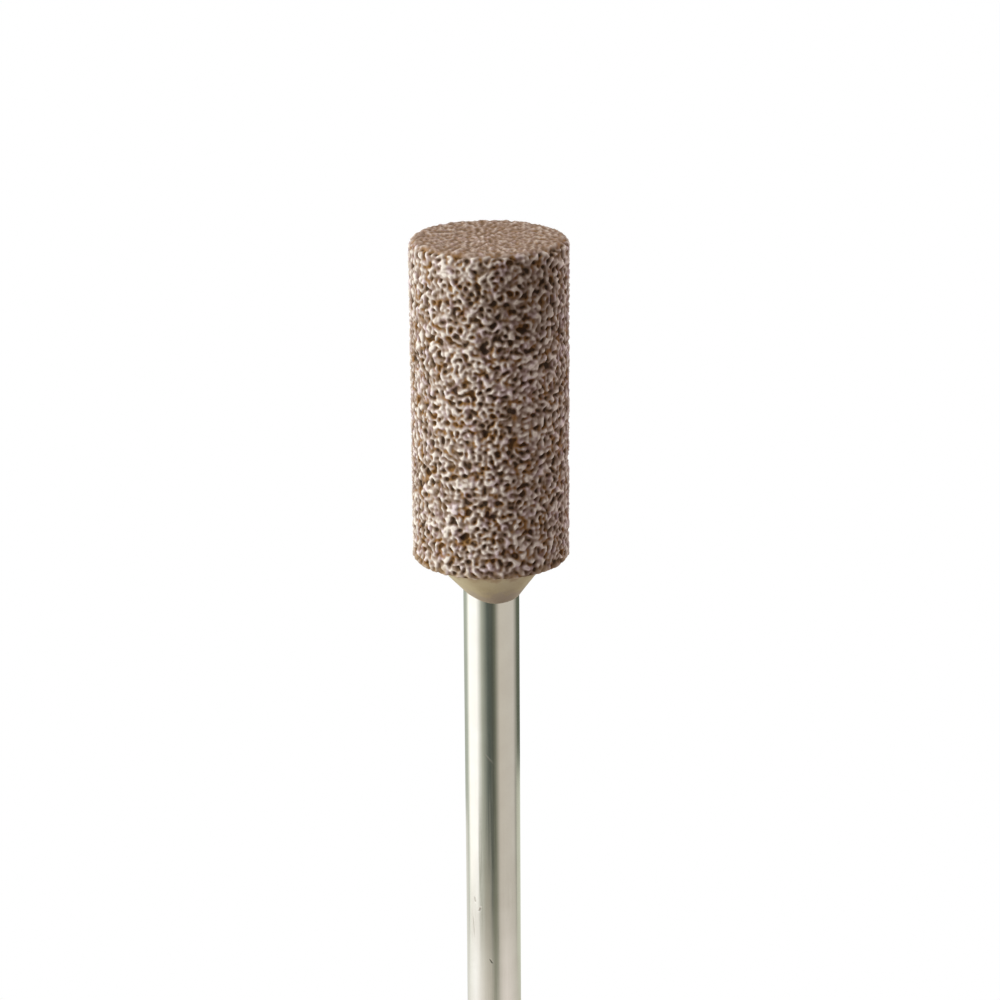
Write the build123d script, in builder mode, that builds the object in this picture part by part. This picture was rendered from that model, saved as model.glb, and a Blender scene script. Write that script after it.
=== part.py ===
"""Cylindrical mounted grinding point: a bonded abrasive head cemented onto a slim steel shank.

The point stands on its head. The origin is the middle of the head's flat end face, and +Z runs
along the axis to the free end of the shank. Sizes are in millimetres.
"""

import math
import os

from build123d import *

# Abrasive head: a moulded cylinder, with a softer edge at its working end
head_diameter = 6.5
head_length = 13.6
end_edge_radius = 0.4
back_edge_chamfer = 0.08

# Shank: a ground steel pin
overall_length = 44.5
shank_diameter = 2.35
free_end_chamfer = 0.3

# Tail of the shank under the cement: turned down, and knurled in bands with ring necks between
tail_diameter = 2.0
tail_length = 8.5
tail_end_chamfer = 0.2
knurl_length = 7.2
flute_count = 14
flute_depth = 0.12
neck_count = 3
neck_width = 0.5
neck_depth = 0.2

# Cement: fills the bore round the tail, and stands out of it as a cone
cement_wall = 0.3
cement_floor = 0.3
bore_tip_angle = 120
collar_height = 1.6
collar_base_diameter = 5.0
collar_lip = 0.06

# Places along the axis
tail_tip_z = head_length - tail_length
bore_floor_z = tail_tip_z - cement_floor
collar_top_z = head_length + collar_height
neck_pitch = knurl_length / (neck_count + 1)

# Radii
head_radius = head_diameter / 2
shank_radius = shank_diameter / 2
tail_radius = tail_diameter / 2
bore_radius = tail_radius + cement_wall
collar_base_radius = collar_base_diameter / 2
collar_top_radius = shank_radius + collar_lip

# The moulded bore ends in a blunt cone
bore_tip_z = bore_floor_z - bore_radius / math.tan(math.radians(bore_tip_angle / 2))

os.makedirs("parts", exist_ok=True)

# Space of the blind bore: the hole in the head, and the outside of the cement that fills it
with BuildPart() as bore:
    with BuildSketch(Plane.XZ):
        with BuildLine():
            Polyline(
                (0, bore_tip_z),
                (bore_radius, bore_floor_z),
                (bore_radius, head_length),
                (0, head_length),
                close=True,
            )
        make_face()
    revolve(axis=Axis.Z)

# Abrasive head
with BuildPart() as abrasive_head:
    with BuildSketch(Plane.XY):
        Circle(head_radius)
    extrude(amount=head_length)
    end_rim, back_rim = abrasive_head.edges().filter_by(GeomType.CIRCLE).sort_by(Axis.Z)
    fillet(end_rim, radius=end_edge_radius)
    chamfer(back_rim, length=back_edge_chamfer)
    add(bore.part, mode=Mode.SUBTRACT)

# Shank: the free pin steps down to its tail at the top of the cement
with BuildPart() as shank:
    with BuildSketch(Plane.XY.offset(collar_top_z)):
        Circle(shank_radius)
    extrude(amount=overall_length - collar_top_z)
    with BuildSketch(Plane.XY.offset(tail_tip_z)):
        Circle(tail_radius)
    extrude(amount=collar_top_z - tail_tip_z)
    rims = shank.edges().filter_by(GeomType.CIRCLE).sort_by(Axis.Z)
    chamfer(rims[0], length=tail_end_chamfer)
    chamfer(rims[-1], length=free_end_chamfer)

    # Ring necks, which key the cement against a pull
    with BuildSketch(Plane.XZ):
        neck_places = [(tail_radius, tail_tip_z + neck_pitch * (i + 1)) for i in range(neck_count)]
        with Locations(*neck_places):
            Rectangle(2 * neck_depth, neck_width)
    revolve(axis=Axis.Z, mode=Mode.SUBTRACT)

    # Straight V flutes of the knurl, which key it against a twist
    with BuildSketch(Plane.XY.offset(tail_tip_z)):
        with PolarLocations(tail_radius, flute_count):
            RegularPolygon(radius=flute_depth, side_count=4)
    extrude(amount=knurl_length, mode=Mode.SUBTRACT)

# Cement: the cone on the head's back face, and the sleeve between the bore and the tail
with BuildPart() as cement_collar:
    with BuildSketch(Plane.XZ):
        with BuildLine():
            Polyline(
                (0, head_length),
                (collar_base_radius, head_length),
                (collar_top_radius, collar_top_z),
                (0, collar_top_z),
                close=True,
            )
        make_face()
    revolve(axis=Axis.Z)
    add(bore.part)
    add(shank.part, mode=Mode.SUBTRACT)

abrasive_head.part.label = "abrasive_head"
export_step(abrasive_head.part, "parts/abrasive_head.step")

cement_collar.part.label = "cement_collar"
export_step(cement_collar.part, "parts/cement_collar.step")

shank.part.label = "shank"
export_step(shank.part, "parts/shank.step")
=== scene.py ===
"""Looks of the mounted grinding point: porous stone head, cement cone and ground steel shank.

Sizes are in metres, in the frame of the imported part, which stands on its head at z = 0.
An azimuth is 0 towards the camera, and positive towards the right of the picture.
"""

import math

import bpy
import numpy as np
from mathutils import Matrix, Vector


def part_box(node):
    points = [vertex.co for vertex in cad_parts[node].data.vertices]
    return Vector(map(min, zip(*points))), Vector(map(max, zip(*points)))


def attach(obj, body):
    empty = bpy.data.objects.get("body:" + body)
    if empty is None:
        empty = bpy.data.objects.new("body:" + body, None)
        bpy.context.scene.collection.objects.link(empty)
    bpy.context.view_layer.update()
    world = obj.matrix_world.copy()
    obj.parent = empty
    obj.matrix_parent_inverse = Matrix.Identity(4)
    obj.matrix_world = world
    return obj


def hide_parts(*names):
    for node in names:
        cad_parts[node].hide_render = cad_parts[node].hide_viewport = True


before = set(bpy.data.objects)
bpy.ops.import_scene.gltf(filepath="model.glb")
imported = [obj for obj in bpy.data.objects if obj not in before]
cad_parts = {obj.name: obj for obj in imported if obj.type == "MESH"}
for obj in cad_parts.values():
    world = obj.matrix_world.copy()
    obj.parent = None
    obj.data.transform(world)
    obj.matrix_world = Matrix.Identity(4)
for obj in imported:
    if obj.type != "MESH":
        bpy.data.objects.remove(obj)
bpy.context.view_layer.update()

MM = 0.001

# Sizes read from the frame
HEAD_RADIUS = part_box("abrasive_head")[1].x
HEAD_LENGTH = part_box("abrasive_head")[1].z
BORE_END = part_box("cement_collar")[0].z
COLLAR_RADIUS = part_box("cement_collar")[1].x
COLLAR_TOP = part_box("cement_collar")[1].z
SHANK_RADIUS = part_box("shank")[1].x
SHANK_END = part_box("shank")[1].z

# Details of the solids that their boxes don't give
END_EDGE = 0.4 * MM
BACK_EDGE = 0.08 * MM
BORE_RADIUS = 1.3 * MM
BORE_CONE = 0.75 * MM
COLLAR_LIP = 0.06 * MM
FREE_END_CHAMFER = 0.3 * MM
TAIL_RADIUS = 1.0 * MM

# Camera: it looks at the end face, with the head at the top of the picture
CAMERA_LENS = 106.65
CAMERA_SENSOR = 36.0
CAMERA_DISTANCE = 122.995 * MM
CAMERA_TILT = math.radians(18.5)
CAMERA_ROLL = -0.0064
CAMERA_AIM = 11.223 * MM
CAMERA_SIDE = 0.389 * MM

# Stone surface
STONE_TURNS = 330
STONE_STEP = 0.0615 * MM
RIDGE_SIZE = 0.30 * MM
WORM_SIZE = 0.20 * MM
PORE_DEPTH = 0.14 * MM
GRAIN_RISE = 0.03 * MM
END_FACE_DEPTH = 0.55
END_FACE_FADE = 0.15 * MM
BACK_FACE_DEPTH = 0.45

# Painted shade: a darker patch laid on the stone's side near its working end
PAINTED_SHADE_PLACE = (-1.0 * MM, -3.05 * MM, 1.9 * MM)
PAINTED_SHADE_REACH = (1.0 * MM, 3.0 * MM)

# Marks on the shank: azimuth in degrees, height, length along the axis, width and lean
SHANK_MARKS = [
    (-8, 22.4 * MM, 0.42 * MM, 0.05 * MM, 0.9),
    (-43, 29.1 * MM, 0.30 * MM, 0.10 * MM, 0.2),
    (-30, 29.5 * MM, 0.26 * MM, 0.12 * MM, -0.3),
    (-47, 30.4 * MM, 1.00 * MM, 0.06 * MM, 0.05),
    (-6, 31.9 * MM, 0.20 * MM, 0.08 * MM, 0.5),
    (150, 20.5 * MM, 0.50 * MM, 0.05 * MM, -0.7),
    (95, 27.0 * MM, 0.35 * MM, 0.08 * MM, 0.4),
    (-140, 36.0 * MM, 0.80 * MM, 0.05 * MM, 0.3),
    (60, 40.5 * MM, 0.40 * MM, 0.07 * MM, -0.5),
]


class Graph:
    """Adds nodes to a node tree and links them."""

    def __init__(self, tree):
        self.tree = tree

    def add(self, kind, inputs=(), **settings):
        node = self.tree.nodes.new(kind)
        for name, value in settings.items():
            setattr(node, name, value)
        for key, value in dict(inputs).items():
            self.feed(value, node.inputs[key])
        return node

    def feed(self, value, socket):
        if isinstance(value, bpy.types.NodeSocket):
            self.tree.links.new(value, socket)
        else:
            socket.default_value = value

    def math(self, operation, a, b=0.0, clamp=False):
        return self.add("ShaderNodeMath", {0: a, 1: b}, operation=operation, use_clamp=clamp).outputs[0]

    def vector(self, operation, a, b):
        return self.add("ShaderNodeVectorMath", {0: a, 1: b}, operation=operation).outputs[0]

    def scaled(self, vector, factor):
        return self.add("ShaderNodeVectorMath", {0: vector, "Scale": factor}, operation="SCALE").outputs[0]

    def split(self, vector):
        return self.add("ShaderNodeSeparateXYZ", {0: vector}).outputs

    def noise(self, place, size, detail=2.0, roughness=0.5):
        """Noise with grains of about this size, as its node."""
        inputs = {"Vector": place, "Scale": 1 / size, "Detail": detail, "Roughness": roughness}
        return self.add("ShaderNodeTexNoise", inputs)

    def cells(self, place, size):
        """Distance to the middle of the nearest cell, with cells of about this size."""
        return self.add("ShaderNodeTexVoronoi", {"Vector": place, "Scale": 1 / size}).outputs["Distance"]

    def spread(self, value, low, high, to_low=0.0, to_high=1.0, smooth=True):
        """value from low..high onto to_low..to_high, held at the ends."""
        inputs = {"Value": value, "From Min": low, "From Max": high, "To Min": to_low, "To Max": to_high}
        kind = "SMOOTHSTEP" if smooth else "LINEAR"
        return self.add("ShaderNodeMapRange", inputs, interpolation_type=kind).outputs["Result"]

    def blend(self, factor, a, b):
        """Value mix."""
        return self.add("ShaderNodeMix", {0: factor, 2: a, 3: b}).outputs[0]

    def ramp(self, value, stops):
        """Colour ramp from (place, (red, green, blue)) stops."""
        node = self.add("ShaderNodeValToRGB", {"Fac": value})
        elements = node.color_ramp.elements
        while len(elements) < len(stops):
            elements.new(1.0)
        for element, (place, colour) in zip(elements, stops):
            element.position = place
            element.color = (*colour, 1.0)
        return node.outputs["Color"]

    def mix(self, factor, a, b, blend="MIX"):
        """Colour mix."""
        node = self.add("ShaderNodeMix", data_type="RGBA", blend_type=blend)
        self.feed(factor, node.inputs[0])
        self.feed(a, node.inputs[6])
        self.feed(b, node.inputs[7])
        return node.outputs[2]


def rgb(red, green, blue):
    return (red, green, blue, 1.0)


def new_material(name):
    material = bpy.data.materials.new(name)
    material.use_nodes = True
    material.node_tree.nodes.clear()
    return material, Graph(material.node_tree)


# Meshes


def new_object(name, vertices, faces):
    mesh = bpy.data.meshes.new(name)
    mesh.from_pydata(np.asarray(vertices).tolist(), [], faces)
    mesh.shade_smooth()
    obj = bpy.data.objects.new(name, mesh)
    bpy.context.scene.collection.objects.link(obj)
    return obj


def line_points(start, end, step):
    """Points of a half section from start towards end, without the end."""
    start, end = np.array(start), np.array(end)
    count = max(1, round(np.linalg.norm(end - start) / step))
    return [start + (end - start) * i / count for i in range(count)]


def arc_points(centre, radius, start, end, count):
    """Points of a half section on an arc, without its end. Angles are in degrees."""
    angles = np.radians(start + (end - start) * np.arange(count) / count)
    return [np.array(centre) + radius * np.array((math.cos(a), math.sin(a))) for a in angles]


def lathe(name, rings, first_z, last_z, turns):
    """Closed surface of revolution: rings of (radius, z), and a point on the axis at each end.

    Its map for baking is the surface unrolled: once round is the width, and the half section the height.
    """
    angles = 2 * math.pi * np.arange(turns) / turns
    vertices = [np.stack((r * np.cos(angles), r * np.sin(angles), np.full(turns, z)), 1) for r, z in rings]
    vertices = np.vstack([*vertices, (0, 0, first_z), (0, 0, last_z)])
    section = np.vstack([(0, first_z), *rings, (0, last_z)])
    heights = np.append(0, np.cumsum(np.linalg.norm(np.diff(section, axis=0), axis=1)))
    heights /= heights[-1]
    first = len(rings) * turns
    faces, places = [], []
    for j in range(turns):
        k = (j + 1) % turns
        left, right = j / turns, (j + 1) / turns
        middle = (left + right) / 2
        faces.append((first, k, j))
        places += [(middle, 0), (right, heights[1]), (left, heights[1])]
        for ring in range(len(rings) - 1):
            low, high = ring * turns, (ring + 1) * turns
            faces.append((low + j, low + k, high + k, high + j))
            v, w = heights[ring + 1], heights[ring + 2]
            places += [(left, v), (right, v), (right, w), (left, w)]
        faces.append((first + 1, first - turns + j, first - turns + k))
        places += [(middle, 1), (left, heights[-2]), (right, heights[-2])]
    obj = new_object(name, vertices, faces)
    layer = obj.data.uv_layers.new(name="OFBake")
    layer.uv.foreach_set("vector", np.array(places, np.float32).ravel())
    return obj


def places_of(obj):
    places = np.empty(len(obj.data.vertices) * 3, np.float32)
    obj.data.vertices.foreach_get("co", places)
    return places.reshape(-1, 3)


def keep_places(obj, places):
    obj.data.vertices.foreach_set("co", np.asarray(places, np.float32).ravel())
    obj.data.update()


def keep_vectors(obj, name, vectors):
    """Stores a vector for each vertex under this name."""
    attribute = obj.data.attributes.new(name, "FLOAT_VECTOR", "POINT")
    attribute.data.foreach_set("vector", np.asarray(vectors, np.float32).ravel())


def keep_values(obj, name, values):
    attribute = obj.data.attributes.new(name, "FLOAT", "POINT")
    attribute.data.foreach_set("value", np.asarray(values, np.float32))


# Stone head


def stone_rings():
    """Half section of the head from the end face round to the floor of the bore."""
    corner = HEAD_RADIUS - END_EDGE
    shoulder = HEAD_LENGTH - BACK_EDGE
    back = HEAD_RADIUS - BACK_EDGE
    rings = line_points((STONE_STEP, 0), (corner, 0), STONE_STEP)
    rings += arc_points((corner, END_EDGE), END_EDGE, -90, 0, 10)
    rings += line_points((HEAD_RADIUS, END_EDGE), (HEAD_RADIUS, shoulder), STONE_STEP)
    rings += line_points((HEAD_RADIUS, shoulder), (back, HEAD_LENGTH), STONE_STEP)
    rings += line_points((back, HEAD_LENGTH), (COLLAR_RADIUS - 0.2 * MM, HEAD_LENGTH), STONE_STEP)
    rings += line_points((COLLAR_RADIUS - 0.2 * MM, HEAD_LENGTH), (BORE_RADIUS, HEAD_LENGTH), 0.5 * MM)
    rings += [np.array(p) for p in ((BORE_RADIUS, HEAD_LENGTH), (BORE_RADIUS, BORE_END + BORE_CONE))]
    return rings


def pore_field(g, rest, calm):
    """Height of the stone's skin at a rest place: 0 in a pore, 1 on a grain. The end face is worn."""
    ridges = g.noise(rest, RIDGE_SIZE, detail=0.0).outputs["Fac"]
    ridges = g.math("ABSOLUTE", g.math("SUBTRACT", ridges, 0.5))
    ridges = g.spread(ridges, 0.0, 0.30, 1.0, 0.0)
    worms = g.noise(rest, WORM_SIZE, detail=0.0).outputs["Fac"]
    worms = g.spread(worms, 0.25, 0.75, smooth=False)
    height = g.spread(g.blend(0.55, ridges, worms), 0.22, 0.90, smooth=False)
    pits = g.spread(g.cells(rest, 1.6 * MM), 0.08, 0.24, -0.5, 0.0)
    height = g.math("ADD", height, pits)
    drawn = g.vector("MULTIPLY", rest, (1.0, 0.5, 1.0))
    worn = g.noise(drawn, 0.17 * MM, detail=0.0).outputs["Fac"]
    worn = g.spread(worn, 0.25, 0.75, smooth=False)
    height = g.blend(calm, height, worn)
    grit = g.noise(rest, 0.07 * MM, detail=1.0, roughness=0.6).outputs["Fac"]
    grit = g.spread(grit, 0.3, 0.7, -0.03, 0.03, smooth=False)
    return g.math("ADD", height, grit)


def carve_pores(obj):
    """Moves the stone's skin by the pore field, and keeps the result as a plain mesh."""
    tree = bpy.data.node_groups.new("pores", "GeometryNodeTree")
    tree.interface.new_socket("Geometry", in_out="INPUT", socket_type="NodeSocketGeometry")
    tree.interface.new_socket("Geometry", in_out="OUTPUT", socket_type="NodeSocketGeometry")
    g = Graph(tree)
    rest = g.add("GeometryNodeInputNamedAttribute", {"Name": "rest"}, data_type="FLOAT_VECTOR").outputs[0]
    push = g.add("GeometryNodeInputNamedAttribute", {"Name": "push"}, data_type="FLOAT_VECTOR").outputs[0]
    calm = g.add("GeometryNodeInputNamedAttribute", {"Name": "calm"}, data_type="FLOAT").outputs[0]
    depth = g.math("MULTIPLY", g.math("SUBTRACT", pore_field(g, rest, calm), 1.0), PORE_DEPTH)
    offset = g.scaled(push, g.math("ADD", depth, GRAIN_RISE))
    start = g.add("NodeGroupInput")
    moved = g.add("GeometryNodeSetPosition", {"Geometry": start.outputs[0], "Offset": offset})
    g.add("NodeGroupOutput", {0: moved.outputs[0]})
    obj.modifiers.new("pores", "NODES").node_group = tree
    graph = bpy.context.evaluated_depsgraph_get()
    mesh = bpy.data.meshes.new_from_object(
        obj.evaluated_get(graph), preserve_all_data_layers=True, depsgraph=graph
    )
    obj.modifiers.clear()
    obj.data = mesh


def stone_material():
    """Brown pores, mauve-brown grain and pale worn ridges, by the same field as the relief. The near-black
    of the deepest pores is partly painted shade, besides the shade that the relief casts.
    """
    material, g = new_material("stone")
    rest = g.add("ShaderNodeAttribute", attribute_name="rest").outputs["Vector"]
    calm = g.add("ShaderNodeAttribute", attribute_name="calm").outputs["Fac"]
    height = pore_field(g, rest, calm)
    # Colour by relief height: its near-black bottom is partly painted shade in the pores
    stops = [
        (0.00, (0.050, 0.031, 0.018)),
        (0.25, (0.158, 0.105, 0.062)),
        (0.50, (0.252, 0.188, 0.147)),
        (0.75, (0.408, 0.346, 0.294)),
        (1.00, (0.670, 0.622, 0.550)),
    ]
    colour = g.ramp(height, stops)
    low = g.spread(height, 0.2, 0.7, 1.0, 0.0)
    warm = g.spread(g.noise(rest, 0.45 * MM, detail=1.0).outputs["Fac"], 0.45, 0.65)
    colour = g.mix(g.math("MULTIPLY", warm, low), colour, rgb(1.35, 1.05, 0.55), "MULTIPLY")
    cool = g.spread(g.noise(rest, 0.38 * MM, detail=1.0).outputs["Fac"], 0.50, 0.70)
    colour = g.mix(cool, colour, rgb(0.95, 0.90, 1.03), "MULTIPLY")
    drawn = g.vector("MULTIPLY", rest, (1.0, 0.5, 1.0))
    blotch = g.noise(drawn, 0.19 * MM, detail=1.0).outputs["Fac"]
    ends = [(0.35, (0.20, 0.125, 0.072)), (0.55, (0.29, 0.20, 0.145)), (0.72, (0.52, 0.44, 0.37))]
    colour = g.mix(g.math("MULTIPLY", calm, 0.6), colour, g.ramp(blotch, ends))
    # Painted shade: the stone's side is darkened round this place, near the working end, but not on the end
    # face
    painted_shade = g.add("ShaderNodeVectorMath", {0: rest, 1: PAINTED_SHADE_PLACE}, operation="DISTANCE").outputs["Value"]
    painted_shade = g.math("MULTIPLY", g.spread(painted_shade, *PAINTED_SHADE_REACH, 1.0, 0.0), g.math("SUBTRACT", 1.0, calm))
    colour = g.mix(painted_shade, colour, rgb(0.74, 0.72, 0.70), "MULTIPLY")
    ragged = g.spread(g.noise(rest, 0.40 * MM, detail=1.0).outputs["Fac"], 0.3, 0.7, -0.2 * MM, 0.2 * MM)
    soaked = g.math("ADD", g.split(rest)[2], ragged)
    soaked = g.spread(soaked, HEAD_LENGTH - 0.40 * MM, HEAD_LENGTH, 0.0, 0.65)
    colour = g.mix(soaked, colour, rgb(0.240, 0.160, 0.080))
    bump = g.add("ShaderNodeBump", {"Height": height, "Strength": 0.05, "Distance": PORE_DEPTH})
    inputs = {
        "Base Color": colour,
        "Roughness": 0.8,
        "Specular IOR Level": 0.15,
        "Normal": bump.outputs["Normal"],
    }
    shader = g.add("ShaderNodeBsdfPrincipled", inputs)
    g.add("ShaderNodeOutputMaterial", {"Surface": shader.outputs["BSDF"]})
    return material


def build_stone():
    """The abrasive head, with its pores and grains as real relief."""
    obj = lathe("stone", stone_rings(), 0.0, BORE_END, STONE_TURNS)
    places = places_of(obj)
    radius = np.hypot(places[:, 0], places[:, 1])
    height = places[:, 2]
    down = np.clip((END_EDGE - height) / END_EDGE, 0, 1)
    out = np.where(down > 0, np.clip((radius - HEAD_RADIUS + END_EDGE) / END_EDGE, 0, 1), 1.0)
    push = np.zeros_like(places)
    push[:, :2] = places[:, :2] / np.maximum(radius, 1e-9)[:, None] * out[:, None]
    push[:, 2] = -down
    push[(height > HEAD_LENGTH - 1e-7) & (radius < HEAD_RADIUS - BACK_EDGE / 2)] = (0, 0, BACK_FACE_DEPTH)
    push[(height > END_EDGE) & (radius < COLLAR_RADIUS - 0.1 * MM)] = 0
    calm = np.clip((END_FACE_FADE - height) / END_FACE_FADE, 0, 1)
    push *= (1 - (1 - END_FACE_DEPTH) * calm)[:, None]
    keep_vectors(obj, "rest", places)
    keep_vectors(obj, "push", push)
    keep_values(obj, "calm", calm)
    carve_pores(obj)
    obj.data.materials.append(stone_material())
    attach(obj, "root")
    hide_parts("abrasive_head")


# Cement cone


def cement_material():
    """Khaki cement, browner where it wets the stone and darker along its lip."""
    material, g = new_material("cement")
    place = g.add("ShaderNodeTexCoord").outputs["Object"]
    blotch = g.noise(place, 0.9 * MM, detail=3.0).outputs["Fac"]
    colour = g.ramp(blotch, [(0.3, (0.250, 0.198, 0.104)), (0.7, (0.305, 0.256, 0.148))])
    ragged = g.spread(g.noise(place, 0.35 * MM, detail=2.0).outputs["Fac"], 0.3, 0.7, -0.16 * MM, 0.16 * MM)
    height = g.math("ADD", g.split(place)[2], ragged)
    wet = g.spread(height, HEAD_LENGTH + 0.22 * MM, HEAD_LENGTH + 0.62 * MM, 0.75, 0.0)
    colour = g.mix(wet, colour, rgb(0.190, 0.115, 0.050))
    lip = g.spread(height, COLLAR_TOP - 0.60 * MM, COLLAR_TOP - 0.10 * MM, 0.0, 0.6)
    colour = g.mix(lip, colour, rgb(0.190, 0.145, 0.115))
    grain = g.noise(place, 0.12 * MM, detail=2.0).outputs["Fac"]
    bump = g.add("ShaderNodeBump", {"Height": grain, "Strength": 0.35, "Distance": 0.03 * MM})
    inputs = {
        "Base Color": colour,
        "Roughness": 0.45,
        "Specular IOR Level": 0.3,
        "Normal": bump.outputs["Normal"],
    }
    shader = g.add("ShaderNodeBsdfPrincipled", inputs)
    g.add("ShaderNodeOutputMaterial", {"Surface": shader.outputs["BSDF"]})
    return material


def build_cement():
    """The cement's cone with its uneven lip, and the plain sleeve inside the head."""
    lip_radius = SHANK_RADIUS + COLLAR_LIP
    rings = [np.array((BORE_RADIUS, BORE_END + BORE_CONE)), np.array((BORE_RADIUS, HEAD_LENGTH))]
    rings += line_points((COLLAR_RADIUS, HEAD_LENGTH), (lip_radius, COLLAR_TOP), 0.05 * MM)
    rings += arc_points((lip_radius - 0.03 * MM, COLLAR_TOP - 0.03 * MM), 0.03 * MM, 0, 90, 4)
    rings += [np.array((SHANK_RADIUS - 0.01 * MM, COLLAR_TOP))]
    obj = lathe("cement", rings, BORE_END, COLLAR_TOP, 180)
    places = places_of(obj)
    share = np.clip((places[:, 2] - HEAD_LENGTH) / (COLLAR_TOP - HEAD_LENGTH), 0, 1)
    azimuth = np.arctan2(-places[:, 0], -places[:, 1])
    lean = np.maximum(0.38 * np.cos(azimuth - 0.44) - 0.20, -0.22) + 0.015 * np.cos(5 * azimuth)
    places[:, 2] += lean * MM * share**2
    keep_places(obj, places)
    obj.data.materials.append(cement_material())
    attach(obj, "root")
    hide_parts("cement_collar")


# Steel shank


def shank_marks(g, place):
    """0 on clean steel and up to 1 on a scratch or a stained spot."""
    x, y, z = g.split(place)[:3]
    turn = g.math("ARCTAN2", g.math("MULTIPLY", x, -1.0), g.math("MULTIPLY", y, -1.0))
    around = g.math("MULTIPLY", turn, SHANK_RADIUS)
    marks = 0.0
    for azimuth, height, length, width, lean in SHANK_MARKS:
        along = g.math("SUBTRACT", z, height)
        aside = g.math("SUBTRACT", around, math.radians(azimuth) * SHANK_RADIUS)
        aside = g.math("SUBTRACT", aside, g.math("MULTIPLY", along, lean))
        far = g.math("ABSOLUTE", g.math("DIVIDE", along, length / 2))
        wide = g.math("ABSOLUTE", g.math("DIVIDE", aside, width / 2))
        mark = g.spread(g.math("MAXIMUM", far, wide), 0.3, 1.2, 1.0, 0.0)
        marks = g.math("MAXIMUM", marks, mark)
    return marks


def steel_material():
    """Ground steel with faint lines along it, light stains and a few scratches."""
    material, g = new_material("steel")
    place = g.add("ShaderNodeTexCoord").outputs["Object"]
    marks = shank_marks(g, place)
    drawn = g.vector("MULTIPLY", place, (1.0, 1.0, 0.02))
    lines = g.noise(drawn, 0.05 * MM, detail=2.0).outputs["Fac"]
    cloud = g.noise(place, 1.2 * MM, detail=3.0).outputs["Fac"]
    colour = g.ramp(cloud, [(0.35, (0.66, 0.645, 0.60)), (0.65, (0.63, 0.61, 0.565))])
    colour = g.mix(g.math("MULTIPLY", marks, 0.7), colour, rgb(0.25, 0.22, 0.18))
    rough = g.spread(g.math("ADD", lines, g.math("MULTIPLY", marks, 0.5)), 0.35, 0.8, 0.09, 0.16)
    relief = g.math("ADD", g.math("MULTIPLY", lines, 0.25), g.math("MULTIPLY", marks, -1.0))
    bump = g.add("ShaderNodeBump", {"Height": relief, "Strength": 0.25, "Distance": 0.01 * MM})
    inputs = {
        "Base Color": colour,
        "Metallic": 1.0,
        "Roughness": rough,
        "Normal": bump.outputs["Normal"],
    }
    shader = g.add("ShaderNodeBsdfPrincipled", inputs)
    g.add("ShaderNodeOutputMaterial", {"Surface": shader.outputs["BSDF"]})
    return material


def build_shank():
    """The ground steel pin, with the plain part of its tail under the cement."""
    soft = 0.02 * MM
    side, rim = SHANK_RADIUS, SHANK_RADIUS - FREE_END_CHAMFER
    end, chamfer = SHANK_END, SHANK_END - FREE_END_CHAMFER
    root = COLLAR_TOP - 0.4 * MM
    rings = [np.array((TAIL_RADIUS, root))]
    rings += line_points((side, root), (side, chamfer - soft), 0.25 * MM)
    rings += line_points((side, chamfer - soft), (side - soft, chamfer + soft), 0.01 * MM)
    rings += line_points((side - soft, chamfer + soft), (rim + soft, end - soft), 0.06 * MM)
    rings += line_points((rim + soft, end - soft), (rim - soft, end), 0.01 * MM)
    rings += line_points((rim - soft, end), (0.1 * MM, end), 0.15 * MM)
    obj = lathe("pin", rings, root, SHANK_END, 128)
    obj.data.materials.append(steel_material())
    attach(obj, "root")
    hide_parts("shank")


# Studio


def direction(azimuth, rise=0.0):
    """Unit vector away from the part. Angles are in degrees."""
    a, e = math.radians(azimuth), math.radians(rise)
    return Vector((-math.sin(a) * math.cos(e), -math.cos(a) * math.cos(e), math.sin(e)))


def add_area_light(name, azimuth, rise, distance, width, height, power, colour=(1, 1, 1), glossy=True):
    data = bpy.data.lights.new(name, "AREA")
    data.shape = "RECTANGLE"
    data.size, data.size_y = width, height
    data.energy = power
    data.color = colour
    obj = bpy.data.objects.new(name, data)
    bpy.context.scene.collection.objects.link(obj)
    towards = direction(azimuth, rise)
    obj.location = towards * distance + Vector((0, 0, CAMERA_AIM))
    obj.rotation_mode = "QUATERNION"
    obj.rotation_quaternion = towards.to_track_quat("Z", "Y")
    obj.visible_camera = False
    obj.visible_glossy = glossy


def add_floor():
    """A pale floor that is seen from above only, with the part's shadow on it."""
    size = 2.0
    corners = [(-size, -size, 0), (size, -size, 0), (size, size, 0), (-size, size, 0)]
    floor = new_object("floor", corners, [(0, 1, 2, 3)])
    floor.location.z = -0.00002
    material, g = new_material("floor")
    place = g.add("ShaderNodeTexCoord").outputs["Object"]
    reach = g.add("ShaderNodeVectorMath", {0: place}, operation="LENGTH").outputs["Value"]
    far = g.spread(reach, 0.05, 0.16)
    pale = g.add("ShaderNodeBsdfDiffuse", {"Color": rgb(0.84, 0.87, 0.90)})
    white = g.add("ShaderNodeEmission", {"Color": rgb(1, 1, 1), "Strength": 1.0})
    top = g.add("ShaderNodeMixShader", {0: far, 1: pale.outputs[0], 2: white.outputs[0]})
    clear = g.add("ShaderNodeBsdfTransparent")
    back = g.add("ShaderNodeNewGeometry").outputs["Backfacing"]
    surface = g.add("ShaderNodeMixShader", {0: back, 1: top.outputs[0], 2: clear.outputs[0]})
    g.add("ShaderNodeOutputMaterial", {"Surface": surface.outputs[0]})
    floor.data.materials.append(material)
    floor.visible_diffuse = False
    floor.visible_glossy = False
    floor.visible_transmission = False
    floor.visible_shadow = False


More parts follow.
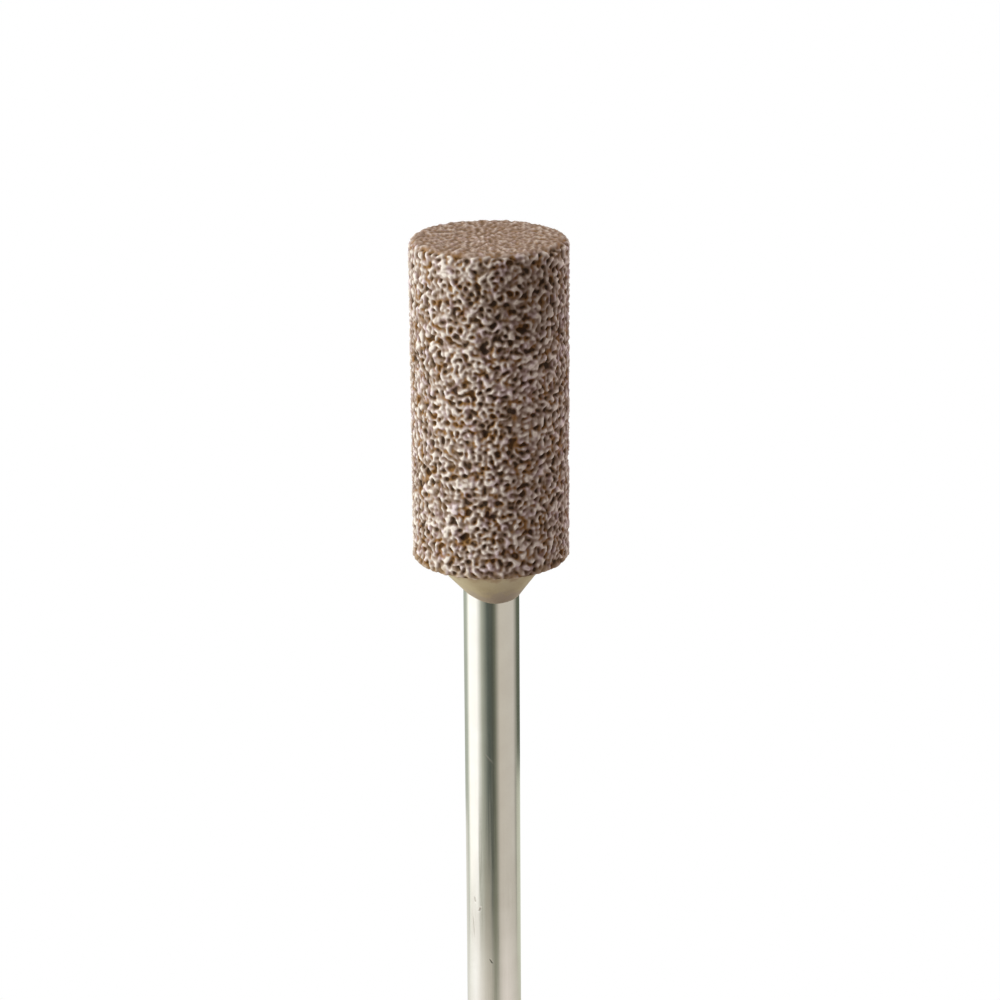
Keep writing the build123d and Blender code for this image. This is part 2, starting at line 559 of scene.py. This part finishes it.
def add_world():
    """White for the camera and for reflections, and a soft warm light for the rest."""
    world = bpy.data.worlds.new("studio")
    world.use_nodes = True
    world.node_tree.nodes.clear()
    g = Graph(world.node_tree)
    path = g.add("ShaderNodeLightPath")
    seen = g.math("MAXIMUM", path.outputs["Is Camera Ray"], path.outputs["Is Glossy Ray"])
    seen = g.math("MAXIMUM", seen, path.outputs["Is Transmission Ray"])
    soft = g.add("ShaderNodeBackground", {"Color": rgb(0.335, 0.268, 0.252), "Strength": 1.0})
    white = g.add("ShaderNodeBackground", {"Color": rgb(1, 1, 1), "Strength": 1.0})
    both = g.add("ShaderNodeMixShader", {0: seen, 1: soft.outputs[0], 2: white.outputs[0]})
    g.add("ShaderNodeOutputWorld", {"Surface": both.outputs[0]})
    bpy.context.scene.world = world


# Cards round the part that only reflections see: azimuth in degrees, and glow
SIDE_CARDS = [
    (-180, (0.45, 0.47, 0.42)),
    (-128, (0.60, 0.66, 0.57)),
    (-107, (1.70, 1.70, 1.65)),
    (-66, (1.60, 1.60, 1.60)),
    (-42, (0.55, 0.58, 0.50)),
    (-18, (0.13, 0.155, 0.135)),
    (2, (0.11, 0.12, 0.10)),
    (12, (0.20, 0.21, 0.16)),
    (32, (0.78, 0.73, 0.65)),
    (98, (0.78, 0.74, 0.68)),
    (128, (0.14, 0.16, 0.12)),
    (165, (0.14, 0.16, 0.12)),
]

# The same for the cards above them
TOP_CARDS = [
    (-180, (0.60, 0.60, 0.55)),
    (-125, (1.20, 1.20, 1.15)),
    (-85, (1.45, 1.45, 1.45)),
    (-50, (1.10, 1.06, 1.00)),
    (-13, (0.78, 0.74, 0.66)),
    (8, (0.46, 0.46, 0.38)),
    (38, (0.95, 0.89, 0.84)),
    (60, (1.07, 1.00, 0.96)),
    (100, (0.84, 0.80, 0.74)),
    (150, (0.65, 0.65, 0.55)),
]

# Small cards hung before them: azimuths, heights and glow
SMALL_CARDS = [
    (-64, -44, 0.299, 0.332, (0.46, 0.48, 0.40)),
    (-112, -64, 0.320, 0.333, (0.96, 0.94, 0.88)),
    (-40, -10, 0.313, 0.336, (0.50, 0.48, 0.40)),
    (24, 112, 0.316, 0.330, (0.67, 0.63, 0.56)),
    (0, 22, 0.318, 0.342, (0.27, 0.28, 0.21)),
    (118, 200, 0.286, 0.345, (0.72, 0.74, 0.62)),
    (-200, -130, 0.298, 0.345, (0.90, 0.90, 0.84)),
]
CARD_RADIUS = 0.6
CARD_REACH = 0.9
CARD_SEAM = (0.322, 0.345)
CARD_BLUR = (5, 0.004)


def add_cards():
    """A ring of pale and dark cards that gives the steel its bands."""
    turns = 96
    angles = 2 * math.pi * np.arange(turns) / turns
    low = np.stack((np.cos(angles), np.sin(angles), np.zeros(turns)), 1) * CARD_RADIUS
    low[:, 2] = -CARD_REACH
    high = low + np.array((0, 0, 2 * CARD_REACH))
    faces = [(j, (j + 1) % turns, turns + (j + 1) % turns, turns + j) for j in range(turns)]
    ring = new_object("cards", np.vstack([low, high]), faces)
    material, g = new_material("cards")
    x, y, z = g.split(g.add("ShaderNodeTexCoord").outputs["Object"])[:3]
    turn = g.math("ARCTAN2", g.math("MULTIPLY", x, -1.0), g.math("MULTIPLY", y, -1.0))
    share = g.math("ADD", g.math("DIVIDE", turn, 2 * math.pi), 0.5)
    side, top = (
        g.ramp(share, [((azimuth + 180) / 360, colour) for azimuth, colour in stops])
        for stops in (SIDE_CARDS, TOP_CARDS)
    )
    colour = g.mix(g.spread(z, *CARD_SEAM), side, top)
    azimuth = g.math("DEGREES", turn)
    for start, end, low, high, small in SMALL_CARDS:
        mask = 1.0
        for value, first, last, blur in ((azimuth, start, end, CARD_BLUR[0]), (z, low, high, CARD_BLUR[1])):
            mask = g.math("MULTIPLY", mask, g.spread(value, first - blur, first + blur))
            mask = g.math("MULTIPLY", mask, g.spread(value, last - blur, last + blur, 1.0, 0.0))
        colour = g.mix(mask, colour, rgb(*small))
    glow = g.add("ShaderNodeEmission", {"Color": colour, "Strength": 1.0})
    g.add("ShaderNodeOutputMaterial", {"Surface": glow.outputs[0]})
    ring.data.materials.append(material)
    ring.visible_camera = False
    ring.visible_diffuse = False
    ring.visible_shadow = False
    ring.visible_transmission = False


def add_lights():
    add_area_light("key", -78, 0, 0.5, 0.20, 0.51, 3.5, colour=(0.96, 1.0, 1.0), glossy=False)
    add_area_light("below", -40, -75, 0.5, 0.4, 0.4, 1.9, glossy=False)
    add_area_light("above", 0, 88, 0.5, 0.4, 0.4, 2.0, glossy=False)
    add_area_light("rim", 130, 10, 0.5, 0.3, 0.5, 2.2, colour=(1.0, 0.90, 0.92), glossy=False)


def add_camera():
    """The photo's view: from the head's end, with the head at the top of the picture."""
    data = bpy.data.cameras.new("camera")
    data.lens = CAMERA_LENS
    data.sensor_width = CAMERA_SENSOR
    data.clip_start = 0.001
    camera = bpy.data.objects.new("camera", data)
    bpy.context.scene.collection.objects.link(camera)
    back = Vector((0, -math.cos(CAMERA_TILT), -math.sin(CAMERA_TILT)))
    level_right = Vector((-1, 0, 0))
    level_up = back.cross(level_right)
    right = level_right * math.cos(CAMERA_ROLL) + level_up * math.sin(CAMERA_ROLL)
    up = back.cross(right)
    camera.matrix_world = Matrix((right, up, back)).transposed().to_4x4()
    camera.location = Vector((0, 0, CAMERA_AIM)) + back * CAMERA_DISTANCE + right * CAMERA_SIDE
    bpy.context.scene.camera = camera


build_stone()
build_cement()
build_shank()
add_floor()
add_world()
add_cards()
add_lights()
add_camera()
bpy.context.scene.view_settings.view_transform = "Standard"
